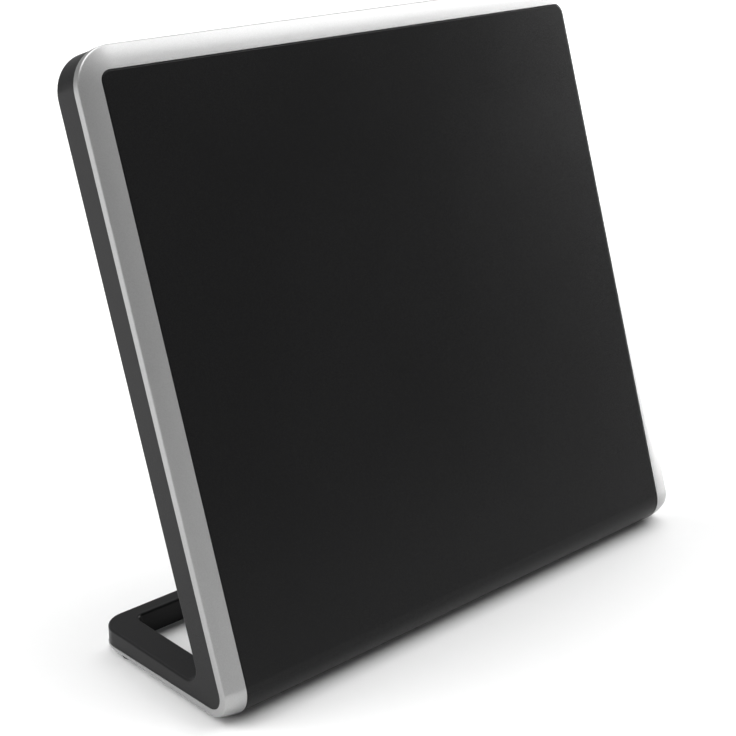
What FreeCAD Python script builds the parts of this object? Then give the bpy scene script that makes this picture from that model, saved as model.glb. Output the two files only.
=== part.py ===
import FreeCAD, Part
import math
import os
import Sketcher

# Indoor tv antenna: a leaning flat panel bent at the bottom into a flat open foot.
# Frame: +X right, +Y back, +Z up, millimetres, floor at Z = 0 under the middle of the object.
# Every piece is drawn in the panel's frame: x across, y up the front face, z out of the front face.

os.makedirs("parts", exist_ok=True)
doc = FreeCAD.newDocument("indoor_tv_antenna")
sheet = doc.addObject("Spreadsheet::Sheet", "Sizes")

SIZES = [
    ("width", 204.0, "overall width"),
    ("lean_angle", 18.25, "lean of the panel from upright, degrees"),
    ("panel_height", 197.9, "length of the front face down to the floor line"),
    ("panel_thickness", 13.8, "front face to back face"),
    ("foot_depth", 70.4, "floor line of the front face to the back of the foot"),
    ("foot_thickness", 8.2, "underside to top of the foot"),
    ("bend_radius", 9.0, "outside of the bend"),
    ("crease_radius", 5.0, "inside of the bend"),
    ("top_corner_radius", 12.5, "upper corners of the panel"),
    ("back_corner_radius", 8.2, "back corners of the foot"),
    ("bezel_width", 7.0, "silver border beside the black face"),
    ("bezel_depth", 3.9, "silver border, front to back"),
    ("bezel_back", 2.4, "silver border at the back of the foot, where it has thinned"),
    ("seat_corner_radius", 3.4, "upper corners of the black face"),
    ("crown_place", 3.2, "where the crown of the border turns down"),
    ("crown_near", 0.25, "fall of the crown at that place"),
    ("crown_far", 1.4, "fall of the crown at the outer edge"),
    ("crown_radius", 25.0, "rounding along the crown"),
    ("bezel_edge_radius", 0.6, "rounding of the outer edge"),
    ("skin", 2.0, "thickness of the black face"),
    ("skin_gap", 0.25, "clearance round the black face"),
    ("skin_edge_radius", 0.35, "rounded rim of the black face"),
    ("ledge", 12.0, "shelf of the bezel behind the black face"),
    ("arm_width", 10.4, "side arms of the foot"),
    ("back_bar", 5.8, "back bar of the foot"),
    ("window_front", 27.0, "front edge of the window in the foot"),
    ("window_radius", 3.0, "corners of the window"),
    ("window_edge_radius", 0.8, "rounded upper edge of the window"),
    ("window_rim", 4.0, "strip between black face and window"),
    ("lining", 1.6, "dark wall that lines the window"),
    ("lining_gap", 0.15, "clearance round that wall"),
    ("lining_lift", 0.3, "lower edge of that wall above the underside"),
    ("reveal", 0.2, "step from the bezel in to the rear cover"),
    ("wall", 2.0, "wall of the rear cover"),
    ("rear_edge_radius", 0.8, "rounded back edges of the rear cover"),
    ("cavity_bottom", 23.0, "lower end of the hollow in the rear cover"),
    ("bay_width", 76.0, "connector bay, across"),
    ("bay_height", 44.0, "connector bay, up the panel"),
    ("bay_rise", 5.9, "connector bay, out of the back face"),
    ("bay_place", 62.0, "middle of the bay above the floor line"),
    ("bay_radius", 5.0, "corners of the bay"),
    ("bay_edge_radius", 1.5, "rounded edge of the bay"),
    ("screw_side", 13.0, "cover screws, in from the sides"),
    ("screw_low", 38.0, "lower cover screws above the floor line"),
    ("screw_top", 16.0, "upper cover screws below the top"),
    ("boss_radius", 4.6, "screw wells of the rear cover"),
    ("well_radius", 3.2, "bore of the screw wells"),
    ("well_floor", 1.6, "floor of the screw wells"),
    ("bezel_boss", 2.1, "bosses behind the ledge"),
    ("bezel_boss_radius", 3.3, "radius of those bosses"),
    ("screw_radius", 1.25, "screw shanks and the bores they cut into"),
    ("screw_hole_radius", 1.6, "clearance holes for the screws"),
    ("screw_head_radius", 2.6, "screw heads"),
    ("screw_head", 1.8, "height of the screw heads"),
    ("screw_grip", 2.9, "thread in the bezel"),
    ("board_screw_grip", 3.0, "thread in the board bosses"),
    ("slot_length", 3.0, "cross recess of the heads, across"),
    ("slot_width", 0.8, "cross recess of the heads, width"),
    ("slot_depth", 0.9, "cross recess of the heads, depth"),
    ("pad_radius", 3.0, "rubber pads"),
    ("pad_recess", 1.2, "recess for the pads"),
    ("pad_lift", 0.6, "pads stand out of the underside"),
    ("pad_gap", 0.1, "clearance round the pads"),
    ("pad_inset", 22.0, "front pads, in from the sides"),
    ("pad_front", 17.3, "front pads, behind the floor line"),
    ("pad_back", 12.0, "back pads, in from the back"),
    ("board_side", 27.0, "aerial board, in from the sides"),
    ("board_top", 17.3, "aerial board, below the top"),
    ("board_thickness", 1.6, "aerial board"),
    ("board_depth", 4.6, "front of the aerial board behind the black face"),
    ("board_low", 31.0, "lower edge of the aerial board above the floor line"),
    ("board_screw_inset", 6.0, "board screws, in from its edges"),
    ("board_boss_radius", 3.0, "bosses that carry the aerial board"),
    ("foil", 0.2, "copper elements"),
    ("feed_half", 6.0, "feed pins from the middle"),
    ("feed_inset", 2.5, "feed pins below the upper edge of the amplifier board"),
    ("feed_stub", 0.4, "feed pins out of the boards"),
    ("feed_radius", 0.45, "feed pins"),
    ("element_clear", 6.0, "short elements, inside the long loop"),
    ("element_spread", 25.0, "half height of their outer ends"),
    ("element_tip", 4.0, "half height at the feed"),
    ("element_gap", 2.5, "inner ends of the elements from the middle"),
    ("loop_inset", 12.0, "long loop, in from the edges of the board"),
    ("loop_width", 5.0, "track of the long loop"),
    ("amp_width", 66.0, "amplifier board, across"),
    ("amp_height", 35.0, "amplifier board, up the panel"),
    ("amp_thickness", 1.2, "amplifier board"),
    ("amp_gap", 2.4, "space between the two boards"),
    ("amp_screw_inset", 4.0, "amplifier screws, in from the edges"),
    ("amp_boss_radius", 2.6, "bosses that carry the amplifier board"),
    ("can_width", 22.0, "shield can, across"),
    ("can_height", 20.0, "shield can, up the panel"),
    ("can_rise", 5.0, "shield can, above its board"),
    ("can_sheet", 0.3, "sheet of the shield can"),
    ("can_side", 3.0, "shield can, from the middle"),
    ("can_drop", 2.0, "shield can, below the feed side"),
    ("coax_side", 19.0, "aerial socket, from the middle"),
    ("coax_radius", 4.7, "barrel of the aerial socket"),
    ("coax_thread_radius", 4.5, "barrel and nut where their threads meet"),
    ("coax_reach", 10.5, "barrel out of the bay"),
    ("coax_flange_radius", 6.0, "flange inside the bay"),
    ("coax_flange", 2.5, "thickness of the flange"),
    ("coax_bore_radius", 3.1, "insulator in the barrel"),
    ("coax_eye_radius", 0.9, "eye of the insulator"),
    ("coax_mouth", 0.6, "insulator set in from the barrel's end"),
    ("coax_gap", 0.15, "clearance round the barrel in the bay"),
    ("contact_reach", 6.0, "contact set in from the barrel's end"),
    ("contact_radius", 0.6, "centre contact"),
    ("washer_radius", 7.0, "washer"),
    ("washer_thickness", 0.7, "washer"),
    ("nut_flats", 11.0, "nut, across its flats"),
    ("nut_height", 2.6, "nut"),
    ("jack_side", 22.5, "supply socket, from the middle"),
    ("jack_size", 9.0, "supply socket body, across"),
    ("jack_nose_radius", 4.0, "round nose in the bay's hole"),
    ("jack_nose", 1.5, "nose in that hole"),
    ("jack_bore_radius", 3.15, "bore of the supply socket"),
    ("jack_bore", 8.3, "depth of that bore"),
    ("jack_pin_radius", 1.0, "centre pin"),
    ("jack_pin", 7.0, "length of the centre pin"),
    ("jack_gap", 0.15, "clearance round the nose"),
    ("jack_spring_width", 2.0, "spring contact, across"),
    ("jack_spring", 0.4, "spring contact strip"),
    ("balun_width", 8.0, "ferrite core, across"),
    ("balun_height", 4.6, "ferrite core, up the panel"),
    ("balun_drop", 3.0, "ferrite core, below the feed pins"),
    ("balun_rise", 3.5, "ferrite core, above its board"),
    ("balun_bore_radius", 0.8, "holes of the ferrite core"),
    ("chip_size", 5.0, "amplifier chip"),
    ("chip_rise", 1.5, "amplifier chip, above its board"),
    ("capacitor_radius", 2.4, "supply capacitor"),
    ("capacitor_rise", 6.0, "supply capacitor, above its board"),
    ("capacitor_side", 28.5, "supply capacitor, from the middle"),
    ("choke_side", 20.0, "supply choke, from the middle"),
    ("choke_low", 6.5, "supply choke, above the lower edge of its board"),
    ("choke_radius", 2.2, "supply choke"),
    ("choke_rise", 3.0, "supply choke, above its board"),
]

for row, (alias, number, note) in enumerate(SIZES, start=1):
    sheet.set("A%d" % row, note)
    sheet.set("B%d" % row, str(number))
    sheet.setAlias("B%d" % row, alias)
doc.recompute()


def value(expression):
    result = sheet.evalExpression(expression)
    return float(getattr(result, "Value", result))


# Places in the side view, as pairs of expressions: along the panel, and out of its front face
SIN = "sin(Sizes.lean_angle)"
COS = "cos(Sizes.lean_angle)"


def on_panel(along, depth):
    return ("%s" % along, "-(%s)" % depth)


def on_foot(back, up):
    return (
        "(%s) * %s + (%s) * %s" % (back, SIN, up, COS),
        "(%s) * %s - (%s) * %s" % (up, SIN, back, COS),
    )


def where_they_meet(depth, up):
    return on_foot("((%s) + (%s) * %s) / %s" % (depth, up, SIN, COS), up)


# The object's middle, front to back, between the bend and the upper back edge
BEND_FRONT = "Sizes.bend_radius / tan((90 - Sizes.lean_angle) / 2) - Sizes.bend_radius"
TOP_BACK = (
    "(Sizes.panel_height - Sizes.reveal - Sizes.rear_edge_radius) * %s"
    " + (Sizes.panel_thickness - Sizes.rear_edge_radius) * %s + Sizes.rear_edge_radius" % (SIN, COS)
)
MIDDLE = "((%s) + max(%s; Sizes.foot_depth)) / 2" % (BEND_FRONT, TOP_BACK)


def new_body(label):
    body = doc.addObject("PartDesign::Body", label)
    body.Label = label
    body.Placement = FreeCAD.Placement(
        FreeCAD.Vector(0, 0, 0), FreeCAD.Rotation(FreeCAD.Vector(1, 0, 0), 60)
    )
    body.setExpression("Placement.Rotation.Angle", "90 - Sizes.lean_angle")
    body.setExpression("Placement.Base.y", "-(%s)" % MIDDLE)
    body.setExpression("Placement.Base.z", "Sizes.pad_lift")
    return body


def origin_plane(body, name):
    return [p for p in body.Origin.OriginFeatures if p.Role == name][0]


def side_sketch(body, name, shift="0"):
    sketch = body.newObject("Sketcher::SketchObject", body.Label + "_" + name)
    sketch.AttachmentSupport = [(origin_plane(body, "YZ_Plane"), "")]
    sketch.MapMode = "FlatFace"
    sketch.setExpression("AttachmentOffset.Base.z", shift)
    return sketch


def panel_sketch(body, name, depth):
    sketch = body.newObject("Sketcher::SketchObject", body.Label + "_" + name)
    sketch.AttachmentSupport = [(origin_plane(body, "XY_Plane"), "")]
    sketch.MapMode = "FlatFace"
    sketch.setExpression("AttachmentOffset.Base.z", "-(%s)" % depth)
    return sketch


def foot_sketch(body, name, up):
    sketch = body.newObject("Sketcher::SketchObject", body.Label + "_" + name)
    sketch.AttachmentSupport = [(origin_plane(body, "XY_Plane"), "")]
    sketch.MapMode = "FlatFace"
    sketch.AttachmentOffset = FreeCAD.Placement(
        FreeCAD.Vector(0, 0, 0), FreeCAD.Rotation(FreeCAD.Vector(-1, 0, 0), 60)
    )
    sketch.setExpression("AttachmentOffset.Rotation.Angle", "90 - Sizes.lean_angle")
    sketch.setExpression("AttachmentOffset.Base.y", "(%s) * %s" % (up, COS))
    sketch.setExpression("AttachmentOffset.Base.z", "(%s) * %s" % (up, SIN))
    return sketch


def bind(sketch, constraint, expression):
    sketch.setExpression("Constraints[%d]" % sketch.addConstraint(constraint), expression)


def pin_down(sketch, shape, corner, place):
    across, up = place
    bind(sketch, Sketcher.Constraint("DistanceX", -1, 1, shape, corner, value(across)), across)
    bind(sketch, Sketcher.Constraint("DistanceY", -1, 1, shape, corner, value(up)), up)


def outline(sketch, corners):
    """Closed outline through corners, each a place and the expression of its rounding."""
    spots = [FreeCAD.Vector(value(place[0]), value(place[1]), 0) for place, rounding in corners]
    radii = [value(rounding) for place, rounding in corners]
    count = len(corners)
    ends = []
    arcs = []
    for i in range(count):
        back = (spots[i - 1] - spots[i]).normalize()
        ahead = (spots[(i + 1) % count] - spots[i]).normalize()
        if radii[i] == 0:
            ends.append((spots[i], spots[i]))
            arcs.append(None)
            continue
        half = back.getAngle(ahead) / 2
        run = radii[i] / math.tan(half)
        centre = spots[i] + (back + ahead).normalize() * (radii[i] / math.sin(half))
        ends.append((spots[i] + back * run, spots[i] + ahead * run))
        arcs.append((centre, ahead.cross(back).z > 0))
    lines = []
    for i in range(count):
        line = Part.LineSegment(ends[i][1], ends[(i + 1) % count][0])
        lines.append(sketch.addGeometry(line, False))
    for i in range(count):
        place, rounding = corners[i]
        point = sketch.addGeometry(Part.Point(spots[i]), True)
        pin_down(sketch, point, 1, place)
        before = lines[i - 1]
        after = lines[i]
        if arcs[i] is None:
            sketch.addConstraint(Sketcher.Constraint("Coincident", before, 2, point, 1))
            sketch.addConstraint(Sketcher.Constraint("Coincident", after, 1, point, 1))
            continue
        centre, forward = arcs[i]
        first = ends[i][0] if forward else ends[i][1]
        last = ends[i][1] if forward else ends[i][0]
        start = math.atan2(first.y - centre.y, first.x - centre.x)
        stop = math.atan2(last.y - centre.y, last.x - centre.x)
        if stop < start:
            stop += 2 * math.pi
        circle = Part.Circle(centre, FreeCAD.Vector(0, 0, 1), radii[i])
        arc = sketch.addGeometry(Part.ArcOfCircle(circle, start, stop), False)
        meets = (1, 2) if forward else (2, 1)
        sketch.addConstraint(Sketcher.Constraint("Tangent", before, 2, arc, meets[0]))
        sketch.addConstraint(Sketcher.Constraint("Tangent", arc, meets[1], after, 1))
        sketch.addConstraint(Sketcher.Constraint("PointOnObject", point, 1, before))
        sketch.addConstraint(Sketcher.Constraint("PointOnObject", point, 1, after))
        bind(sketch, Sketcher.Constraint("Radius", arc, radii[i]), rounding)


def box(sketch, left, right, low, high, rounding="0"):
    corners = [(left, low), (right, low), (right, high), (left, high)]
    outline(sketch, [(place, rounding) for place in corners])


def circles(sketch, places, radius):
    for place in places:
        centre = FreeCAD.Vector(value(place[0]), value(place[1]), 0)
        shape = Part.Circle(centre, FreeCAD.Vector(0, 0, 1), value(radius))
        circle = sketch.addGeometry(shape, False)
        pin_down(sketch, circle, 3, place)
        bind(sketch, Sketcher.Constraint("Radius", circle, value(radius)), radius)


def mirrored(side, along):
    return [("-(%s)" % side, along), (side, along)]


def add(body, sketch, length, way="front"):
    """Pad a sketch to the front, to the back, or evenly to both sides."""
    return grow("PartDesign::Pad", body, sketch, length, way == "back", way == "both")


def cut(body, sketch, length, way="back"):
    """Pocket a sketch to the back, to the front, or evenly to both sides."""
    return grow("PartDesign::Pocket", body, sketch, length, way == "front", way == "both")


def grow(kind, body, sketch, length, reverse, both):
    doc.recompute()
    feature = body.newObject(kind, sketch.Name + "_run")
    feature.Profile = sketch
    feature.SideType = "Symmetric" if both else "One side"
    feature.Reversed = reverse
    feature.setExpression("Length", length)
    sketch.Visibility = False
    doc.recompute()
    return feature


def round_off(body, name, radius, chosen):
    base = body.Tip
    names = ["Edge%d" % (i + 1) for i, edge in enumerate(base.Shape.Edges) if chosen(edge)]
    feature = body.newObject("PartDesign::Fillet", body.Label + "_" + name)
    feature.Base = (base, names)
    feature.setExpression("Radius", radius)
    doc.recompute()
    return feature


def samples(edge):
    first, last = edge.FirstParameter, edge.LastParameter
    return [edge.valueAt(first + share * (last - first)) for share in (0.0, 0.27, 0.5, 0.81, 1.0)]


def floor_place(point):
    lean = math.radians(value("Sizes.lean_angle"))
    back = point.y * math.sin(lean) - point.z * math.cos(lean)
    up = point.y * math.cos(lean) + point.z * math.sin(lean)
    return back, up


def near(first, second):
    return abs(first - second) < 0.001


def crosswise(edge):
    return near(samples(edge)[0].y, samples(edge)[4].y) and near(samples(edge)[0].z, samples(edge)[4].z)


def rim_of(depth, up, rounding, top, back):
    """Edges round one bent face: its panel part, its foot part and the bend between them."""
    depth, up, rounding = value(depth), value(up), value(rounding)
    top, back = value(top), value(back)
    lean = math.radians(value("Sizes.lean_angle"))
    rise = up + rounding
    middle = ((depth + rounding + rise * math.sin(lean)) / math.cos(lean), rise)

    def on_face(point):
        place = floor_place(point)
        if near(-point.z, depth) or near(place[1], up):
            return True
        return near(math.hypot(place[0] - middle[0], place[1] - middle[1]), rounding)

    def chosen(edge):
        points = samples(edge)
        if not all(on_face(point) for point in points):
            return False
        at_end = near(points[2].y, top) or near(floor_place(points[2])[0], back)
        return at_end or not crosswise(edge)

    return chosen


def top_corners(half, top):
    def chosen(edge):
        points = samples(edge)
        return all(near(abs(p.x), value(half)) and near(p.y, value(top)) for p in points)

    return chosen


def back_corners(half, back):
    def chosen(edge):
        points = samples(edge)
        return all(near(abs(p.x), value(half)) and near(floor_place(p)[0], value(back)) for p in points)

    return chosen


def bent_slab(body, name, panel, foot, crease, top, back, across):
    """Bent sheet of a given width. Panel gives its front and back depth, foot its underside at the
    back of the foot and its top at the crease and at the back of the foot."""
    front, panel_back = panel
    low, crease_up, high = foot
    sketch = side_sketch(body, name)
    outline(sketch, [
        (on_panel(top, front), "0"),
        (where_they_meet(front, front), "Sizes.bend_radius - (%s)" % front),
        (on_foot(back, low), "0"),
        (on_foot(back, high), "0"),
        (where_they_meet(panel_back, crease_up), crease),
        (on_panel(top, panel_back), "0"),
    ])
    return add(body, sketch, across, "both")


HALF = "Sizes.width / 2"
BLACK_HALF = "Sizes.width / 2 - Sizes.bezel_width"
BLACK_TOP = "Sizes.panel_height - Sizes.bezel_width"
TAIL = "Sizes.window_front - Sizes.window_rim"
SCREW_X = "Sizes.width / 2 - Sizes.screw_side"
SCREW_HIGH = "Sizes.panel_height - Sizes.screw_top"
COVER_SCREWS = mirrored(SCREW_X, "Sizes.screw_low") + mirrored(SCREW_X, SCREW_HIGH)
BOSS_END = "Sizes.bezel_depth + Sizes.bezel_boss"
PAD_FRONT = mirrored("Sizes.width / 2 - Sizes.pad_inset", "Sizes.pad_front")
WINDOW_HALF = "Sizes.width / 2 - Sizes.arm_width"
LINING = "Sizes.lining + Sizes.lining_gap"
PAD_BACK = mirrored(
    "Sizes.width / 2 - (Sizes.arm_width - (%s)) / 2" % LINING, "Sizes.foot_depth - Sizes.pad_back"
)
PARTING_START = "Sizes.bezel_depth * (1 + %s) / %s" % (SIN, COS)


def parting(back):
    """Height of the joint between bezel and rear cover along the foot."""
    fall = "(Sizes.bezel_depth - Sizes.bezel_back)"
    share = "(%s - %s) / (Sizes.foot_depth - %s)" % (back, PARTING_START, PARTING_START)
    return "Sizes.bezel_depth - %s * %s" % (fall, share)


def window(sketch, more="0"):
    """The window of the foot, let out by some more on every side."""
    box(
        sketch, "-(%s + %s)" % (WINDOW_HALF, more), "%s + %s" % (WINDOW_HALF, more),
        "Sizes.window_front - (%s)" % more, "Sizes.foot_depth - Sizes.back_bar + %s" % more,
        "Sizes.window_radius + %s" % more,
    )


# Front panel: black moulding bent round the bottom, bonded to the ledge of the bezel
PANEL_HALF = BLACK_HALF + " - Sizes.skin_gap"
PANEL_TOP = BLACK_TOP + " - Sizes.skin_gap"
PANEL_TAIL = TAIL + " - Sizes.skin_gap"
PANEL_CORNER = "Sizes.seat_corner_radius - Sizes.skin_gap"
front_panel = new_body("front_panel")
bent_slab(
    front_panel, "sheet", ("0", "Sizes.skin"), ("0", "Sizes.skin", "Sizes.skin"),
    "Sizes.bend_radius - Sizes.skin", PANEL_TOP, PANEL_TAIL, "2 * (%s)" % PANEL_HALF,
)
round_off(front_panel, "corners", PANEL_CORNER, top_corners(PANEL_HALF, PANEL_TOP))
round_off(
    front_panel, "rim", "Sizes.skin_edge_radius",
    rim_of("0", "0", "Sizes.bend_radius", PANEL_TOP, PANEL_TAIL),
)
sketch = foot_sketch(front_panel, "pad_seats", "0")
circles(sketch, PAD_FRONT, "Sizes.pad_radius + Sizes.pad_gap")
cut(front_panel, sketch, "Sizes.pad_recess", "front")

# Bezel: silver border with a crowned section carried right round the panel, the bend and the foot
bezel = new_body("bezel_frame")
bent_slab(
    bezel, "slab", ("0", "Sizes.bezel_depth"), ("0", "Sizes.bezel_depth", "Sizes.bezel_back"),
    "Sizes.bend_radius - Sizes.bezel_depth", "Sizes.panel_height", "Sizes.foot_depth", "Sizes.width",
)
round_off(bezel, "top_corners", "Sizes.top_corner_radius", top_corners(HALF, "Sizes.panel_height"))
rounded = round_off(
    bezel, "back_corners", "Sizes.back_corner_radius", back_corners(HALF, "Sizes.foot_depth")
)
seat = side_sketch(bezel, "panel_seat")
outline(seat, [
    (on_panel(BLACK_TOP, "-Sizes.skin"), "0"),
    (where_they_meet("-Sizes.skin", "-Sizes.skin"), "Sizes.bend_radius + Sizes.skin"),
    (on_foot(TAIL, "-Sizes.skin"), "0"),
    (on_foot(TAIL, "Sizes.skin"), "0"),
    (where_they_meet("Sizes.skin", "Sizes.skin"), "Sizes.bend_radius - Sizes.skin"),
    (on_panel(BLACK_TOP, "Sizes.skin"), "0"),
])
cut(bezel, seat, "2 * (%s)" % BLACK_HALF, "both")
round_off(bezel, "seat_corners", "Sizes.seat_corner_radius", top_corners(BLACK_HALF, BLACK_TOP))
outer_rim = rim_of("0", "0", "Sizes.bend_radius", "Sizes.panel_height", "Sizes.foot_depth")
section = side_sketch(bezel, "crown")
OUTSIDE = "Sizes.panel_height + Sizes.bezel_edge_radius"
INNER = BLACK_TOP + " - 2 * Sizes.skin_gap"
outline(section, [
    (on_panel(INNER, "-2 * Sizes.skin_gap * Sizes.crown_near / Sizes.crown_place"), "0"),
    (on_panel(BLACK_TOP + " + Sizes.crown_place", "Sizes.crown_near"), "Sizes.crown_radius"),
    (on_panel("Sizes.panel_height", "Sizes.crown_far"), "Sizes.bezel_edge_radius"),
    (on_panel("Sizes.panel_height", "Sizes.crown_far + 1.2 * Sizes.bezel_edge_radius"), "0"),
    (on_panel(OUTSIDE, "Sizes.crown_far + 1.2 * Sizes.bezel_edge_radius"), "0"),
    (on_panel(OUTSIDE, "-Sizes.bezel_edge_radius"), "0"),
    (on_panel(INNER, "-Sizes.bezel_edge_radius"), "0"),
])
doc.recompute()
crown = bezel.newObject("PartDesign::SubtractivePipe", "bezel_crown_sweep")
crown.Profile = section
crown.Spine = (rounded, ["Edge%d" % (i + 1) for i, e in enumerate(rounded.Shape.Edges) if outer_rim(e)])
doc.recompute()
OPEN_HALF = BLACK_HALF + " - Sizes.ledge"
sketch = panel_sketch(bezel, "opening", "Sizes.skin")
box(
    sketch, "-(%s)" % OPEN_HALF, OPEN_HALF, "Sizes.cavity_bottom + Sizes.wall",
    BLACK_TOP + " - Sizes.ledge", "Sizes.window_radius",
)
cut(bezel, sketch, "Sizes.bezel_depth - Sizes.skin + 1")
sketch = foot_sketch(bezel, "window", "-Sizes.skin")
window(sketch, LINING)
cut(bezel, sketch, "Sizes.bezel_depth + 2 * Sizes.skin", "front")
sketch = foot_sketch(bezel, "pad_seats", "-Sizes.skin")
circles(sketch, PAD_BACK, "Sizes.pad_radius + Sizes.pad_gap")
cut(bezel, sketch, "Sizes.pad_recess + Sizes.skin", "front")
sketch = panel_sketch(bezel, "bosses", "Sizes.bezel_depth")
circles(sketch, COVER_SCREWS, "Sizes.bezel_boss_radius")
add(bezel, sketch, "Sizes.bezel_boss", "back")
sketch = panel_sketch(bezel, "screw_bores", BOSS_END)
circles(sketch, COVER_SCREWS, "Sizes.screw_radius")
cut(bezel, sketch, "Sizes.screw_grip", "front")

# Rear cover: one dark-grey moulding, back of the panel and top of the foot, screwed to the bezel
COVER_HALF = "Sizes.width / 2 - Sizes.reveal"
COVER_TOP = "Sizes.panel_height - Sizes.reveal"
COVER_BACK = "Sizes.foot_depth - Sizes.reveal"
BOARD_BACK = "Sizes.board_depth + Sizes.board_thickness"
AMP_FRONT = BOARD_BACK + " + Sizes.amp_gap"
AMP_BACK = AMP_FRONT + " + Sizes.amp_thickness"
BAY_OUT = "Sizes.panel_thickness + Sizes.bay_rise"
BAY_IN = BAY_OUT + " - Sizes.wall"
INSIDE = "Sizes.panel_thickness - Sizes.wall"
BOARD_HALF = "Sizes.width / 2 - Sizes.board_side"
BOARD_HIGH = "Sizes.panel_height - Sizes.board_top"
BOARD_X = BOARD_HALF + " - Sizes.board_screw_inset"
BOARD_SCREWS = mirrored(BOARD_X, "Sizes.board_low + Sizes.board_screw_inset")
BOARD_SCREWS += mirrored(BOARD_X, BOARD_HIGH + " - Sizes.board_screw_inset")
AMP_X = "Sizes.amp_width / 2 - Sizes.amp_screw_inset"
AMP_HIGH = "Sizes.bay_place + Sizes.amp_height / 2"
AMP_SCREWS = mirrored(AMP_X, AMP_HIGH + " - Sizes.amp_screw_inset")
COAX = [("-Sizes.coax_side", "Sizes.bay_place")]
JACK = [("Sizes.jack_side", "Sizes.bay_place")]
FEED = AMP_HIGH + " - Sizes.feed_inset"
FEEDS = mirrored("Sizes.feed_half", FEED)


def around(sketch, place, across, along, rounding="0"):
    box(
        sketch, "%s - (%s) / 2" % (place[0], across), "%s + (%s) / 2" % (place[0], across),
        "%s - (%s) / 2" % (place[1], along), "%s + (%s) / 2" % (place[1], along), rounding,
    )


cover = new_body("rear_cover")
bent_slab(
    cover, "slab", ("Sizes.bezel_depth", "Sizes.panel_thickness"),
    (parting(COVER_BACK), "Sizes.foot_thickness", "Sizes.foot_thickness"),
    "Sizes.crease_radius", COVER_TOP, COVER_BACK, "2 * (%s)" % COVER_HALF,
)
round_off(
    cover, "top_corners", "Sizes.top_corner_radius - Sizes.reveal", top_corners(COVER_HALF, COVER_TOP)
)
round_off(
    cover, "back_corners", "Sizes.back_corner_radius - Sizes.reveal", back_corners(COVER_HALF, COVER_BACK)
)
round_off(
    cover, "back_edge", "Sizes.rear_edge_radius",
    rim_of("Sizes.panel_thickness", "Sizes.foot_thickness", "Sizes.crease_radius", COVER_TOP, COVER_BACK),
)
sketch = panel_sketch(cover, "bay", "Sizes.panel_thickness")
around(sketch, ("0", "Sizes.bay_place"), "Sizes.bay_width", "Sizes.bay_height", "Sizes.bay_radius")
add(cover, sketch, "Sizes.bay_rise", "back")
round_off(
    cover, "bay_edge", "Sizes.bay_edge_radius",
    lambda edge: all(near(-point.z, value(BAY_OUT)) for point in samples(edge)),
)
sketch = panel_sketch(cover, "hollow", "Sizes.bezel_depth")
box(
    sketch, "-(%s - Sizes.wall)" % COVER_HALF, COVER_HALF + " - Sizes.wall", "Sizes.cavity_bottom",
    COVER_TOP + " - Sizes.wall", "Sizes.top_corner_radius - Sizes.reveal - Sizes.wall",
)
cut(cover, sketch, INSIDE + " - Sizes.bezel_depth")
sketch = panel_sketch(cover, "bay_hollow", INSIDE)
around(
    sketch, ("0", "Sizes.bay_place"), "Sizes.bay_width - 2 * Sizes.wall",
    "Sizes.bay_height - 2 * Sizes.wall", "Sizes.bay_radius - Sizes.wall",
)
cut(cover, sketch, "Sizes.bay_rise")
sketch = panel_sketch(cover, "screw_bosses", BOSS_END)
circles(sketch, COVER_SCREWS, "Sizes.boss_radius")
add(cover, sketch, "Sizes.panel_thickness - Sizes.wall / 2 - (%s)" % BOSS_END, "back")
sketch = panel_sketch(cover, "screw_wells", "Sizes.panel_thickness")
circles(sketch, COVER_SCREWS, "Sizes.well_radius")
cut(cover, sketch, "Sizes.panel_thickness - (%s + Sizes.well_floor)" % BOSS_END, "front")
sketch = panel_sketch(cover, "screw_holes", BOSS_END)
circles(sketch, COVER_SCREWS, "Sizes.screw_hole_radius")
cut(cover, sketch, "Sizes.well_floor")
sketch = panel_sketch(cover, "board_bosses", BOARD_BACK)
circles(sketch, BOARD_SCREWS, "Sizes.board_boss_radius")
add(cover, sketch, "Sizes.panel_thickness - Sizes.wall / 2 - (%s)" % BOARD_BACK, "back")
sketch = panel_sketch(cover, "board_bores", BOARD_BACK)
circles(sketch, BOARD_SCREWS, "Sizes.screw_radius")
cut(cover, sketch, "Sizes.board_screw_grip")
sketch = panel_sketch(cover, "amp_bosses", AMP_BACK)
circles(sketch, AMP_SCREWS, "Sizes.amp_boss_radius")
add(cover, sketch, BAY_IN + " + Sizes.wall / 2 - (%s)" % AMP_BACK, "back")
sketch = panel_sketch(cover, "amp_bores", AMP_BACK)
circles(sketch, AMP_SCREWS, "Sizes.screw_radius")
cut(cover, sketch, "Sizes.board_screw_grip")
sketch = panel_sketch(cover, "coax_hole", BAY_IN)
circles(sketch, COAX, "Sizes.coax_radius + Sizes.coax_gap")
cut(cover, sketch, "2 * Sizes.wall")
sketch = panel_sketch(cover, "jack_hole", BAY_IN)
circles(sketch, JACK, "Sizes.jack_nose_radius + Sizes.jack_gap")
cut(cover, sketch, "2 * Sizes.wall")
sketch = foot_sketch(cover, "lining", "Sizes.lining_lift")
window(sketch, "Sizes.lining")
add(cover, sketch, "Sizes.bezel_depth + Sizes.wall - Sizes.lining_lift")
sketch = foot_sketch(cover, "window", "0")
window(sketch)
cut(cover, sketch, "Sizes.foot_thickness + 1", "front")
round_off(
    cover, "window_edge", "Sizes.window_edge_radius",
    lambda edge: all(
        near(floor_place(p)[1], value("Sizes.foot_thickness"))
        and abs(p.x) < value(WINDOW_HALF) + 0.001
        and value("Sizes.window_front") - 0.001 < floor_place(p)[0]
        and floor_place(p)[0] < value("Sizes.foot_depth - Sizes.back_bar") + 0.001
        for p in samples(edge)
    ),
)
sketch = foot_sketch(cover, "arm_hollows", "0")
CHANNEL = (WINDOW_HALF + " + Sizes.wall", COVER_HALF + " - Sizes.wall")
CHANNEL_END = "Sizes.foot_depth - Sizes.back_corner_radius - Sizes.wall"
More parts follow.
